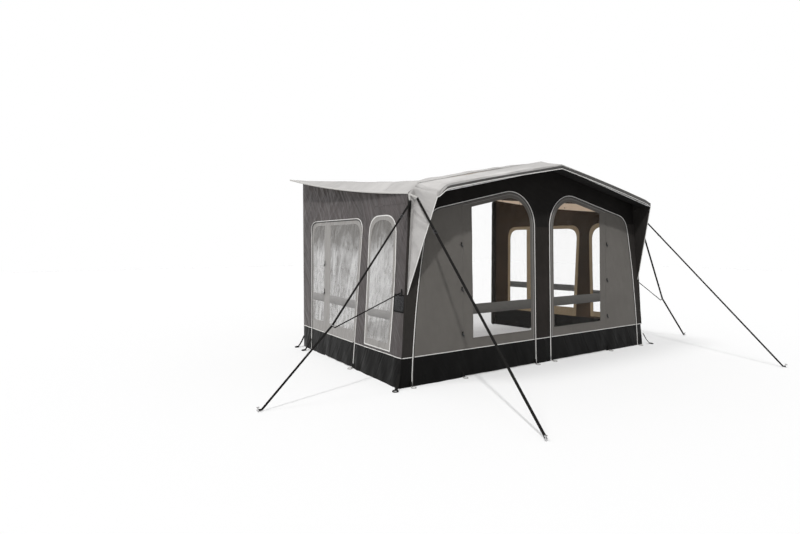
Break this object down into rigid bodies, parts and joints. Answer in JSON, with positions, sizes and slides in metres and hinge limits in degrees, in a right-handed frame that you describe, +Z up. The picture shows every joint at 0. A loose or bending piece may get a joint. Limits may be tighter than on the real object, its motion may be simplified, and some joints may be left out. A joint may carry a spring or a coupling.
{
  "type": "caravan awning",
  "caption": "Gabled air-beam awning for the side of a caravan, with a front visor, zipped doors, clear windows, mud skirts and guy lines.",
  "frame": {"origin": "on the ground, in the middle of the footprint without guys and pegs", "axes": "+X towards the right wall seen from outside the front, +Y from the front wall towards the caravan, +Z up"},
  "size_m": [7.469, 4.852, 2.59],
  "materials": {
    "roof": "coated woven polyester, warm light grey, matt",
    "wall": "coated woven polyester, warm mid grey",
    "door": "coated woven polyester, mid grey",
    "gable": "coated woven polyester, charcoal",
    "skirt": "black PVC-coated skirt",
    "pane": "clear flexible PVC, slightly wrinkled",
    "beam": "zipped polyester sleeve over an air bladder",
    "foam": "dark cover over soft foam",
    "plastic": "black moulded plastic",
    "webbing": "black woven webbing",
    "steel": "plated steel"
  },
  "bodies": {
    "root": {"roof_canopy": "roof", "rail_beading": "plastic", "front_visor": "roof", "visor_pole_elbow": "plastic", "visor_pole_left": "steel", "visor_pole_right": "steel", "visor_wing_left": "roof", "visor_wing_right": "roof", "front_wall": "gable", "front_panel_left": "door", "front_panel_right": "door", "side_wall_left": "wall", "side_wall_right": "wall", "side_window_left": "pane", "side_window_right": "pane", "side_panel_left": "wall", "side_panel_right": "wall", "side_panel_window_left": "pane", "side_panel_window_right": "pane", "mud_skirt_centre": "skirt", "mud_skirt_corner_left": "skirt", "mud_skirt_corner_right": "skirt", "mud_skirt_rear_left": "skirt", "mud_skirt_rear_right": "skirt", "air_beam_left": "beam", "air_beam_centre": "beam", "air_beam_right": "beam", "rear_pad_left": "foam", "rear_pad_right": "foam", "corner_pocket_left": "webbing", "corner_pocket_right": "webbing", "front_guy_left": "webbing", "front_guy_right": "webbing", "side_guy_left": "webbing", "side_guy_right": "webbing", "guy_link_left": "webbing", "guy_link_right": "webbing", "front_peg_left": "steel", "front_peg_right": "steel", "side_peg_left": "steel", "side_peg_right": "steel"},
    "left_front_door": {"front_door_left": "door", "front_window_left": "pane"},
    "right_front_door": {"front_door_right": "door", "front_window_right": "pane"},
    "left_side_door": {"side_door_left": "wall", "side_door_window_left": "pane"},
    "right_side_door": {"side_door_right": "wall", "side_door_window_right": "pane"},
    "left_front_zip": {"front_zip_slider_left": "steel"},
    "right_front_zip": {"front_zip_slider_right": "steel"},
    "left_side_zip": {"side_zip_slider_left": "steel"},
    "right_side_zip": {"side_zip_slider_right": "steel"},
    "left_valve_cap": {"valve_cap_left": "plastic"},
    "centre_valve_cap": {"valve_cap_centre": "plastic"},
    "right_valve_cap": {"valve_cap_right": "plastic"},
    "left_front_tensioner": {"front_tensioner_left": "plastic"},
    "right_front_tensioner": {"front_tensioner_right": "plastic"},
    "left_side_tensioner": {"side_tensioner_left": "plastic"},
    "right_side_tensioner": {"side_tensioner_right": "plastic"}
  },
  "joints": [
    {"name": "front_door_left_swing", "type": "hinge", "parent": "root", "child": "left_front_door", "pos_m": [-1.36, -1.3075, 0], "axis": [0, -0.0275, -0.9996], "range_deg": [0, 110]},
    {"name": "front_door_right_swing", "type": "hinge", "parent": "root", "child": "right_front_door", "pos_m": [1.36, -1.3075, 0], "axis": [0, 0.0275, 0.9996], "range_deg": [0, 110]},
    {"name": "side_door_left_swing", "type": "hinge", "parent": "root", "child": "left_side_door", "pos_m": [-2.07788, 0.7525, 0], "axis": [-0.0216, 0, -0.9998], "range_deg": [0, 120]},
    {"name": "side_door_right_swing", "type": "hinge", "parent": "root", "child": "right_side_door", "pos_m": [2.07788, 0.7525, 0], "axis": [-0.0216, 0, 0.9998], "range_deg": [0, 120]},
    {"name": "front_zip_left_slide", "type": "slide", "parent": "root", "child": "left_front_zip", "axis": [0, 0.0275, 0.9996], "range_m": [0, 1.6]},
    {"name": "front_zip_right_slide", "type": "slide", "parent": "root", "child": "right_front_zip", "axis": [0, 0.0275, 0.9996], "range_m": [0, 1.6]},
    {"name": "side_zip_left_slide", "type": "slide", "parent": "root", "child": "left_side_zip", "axis": [0.0388, -0.0679, 0.9969], "range_m": [0, 1.5]},
    {"name": "side_zip_right_slide", "type": "slide", "parent": "root", "child": "right_side_zip", "axis": [-0.0388, -0.0679, 0.9969], "range_m": [0, 1.5]},
    {"name": "valve_cap_left_turn", "type": "hinge", "parent": "root", "child": "left_valve_cap", "pos_m": [-2.17718, -1.17281, 0.42], "axis": [0, 1, 0], "range_deg": [0, 360]},
    {"name": "valve_cap_centre_turn", "type": "hinge", "parent": "root", "child": "centre_valve_cap", "pos_m": [0, -1.17281, 0.42], "axis": [0, 1, 0], "range_deg": [0, 360]},
    {"name": "valve_cap_right_turn", "type": "hinge", "parent": "root", "child": "right_valve_cap", "pos_m": [2.17718, -1.17281, 0.42], "axis": [0, 1, 0], "range_deg": [0, 360]},
    {"name": "front_tensioner_left_slide", "type": "slide", "parent": "root", "child": "left_front_tensioner", "axis": [-0.0654, -0.69, -0.7209], "range_m": [-0.15, 0.15]},
    {"name": "front_tensioner_right_slide", "type": "slide", "parent": "root", "child": "right_front_tensioner", "axis": [0.0337, -0.6945, -0.7187], "range_m": [-0.15, 0.15]},
    {"name": "side_tensioner_left_slide", "type": "slide", "parent": "root", "child": "left_side_tensioner", "axis": [-0.6014, 0.0198, -0.7987], "range_m": [-0.15, 0.15]},
    {"name": "side_tensioner_right_slide", "type": "slide", "parent": "root", "child": "right_side_tensioner", "axis": [0.5059, 0.0136, -0.8625], "range_m": [-0.15, 0.15]}
  ]
}
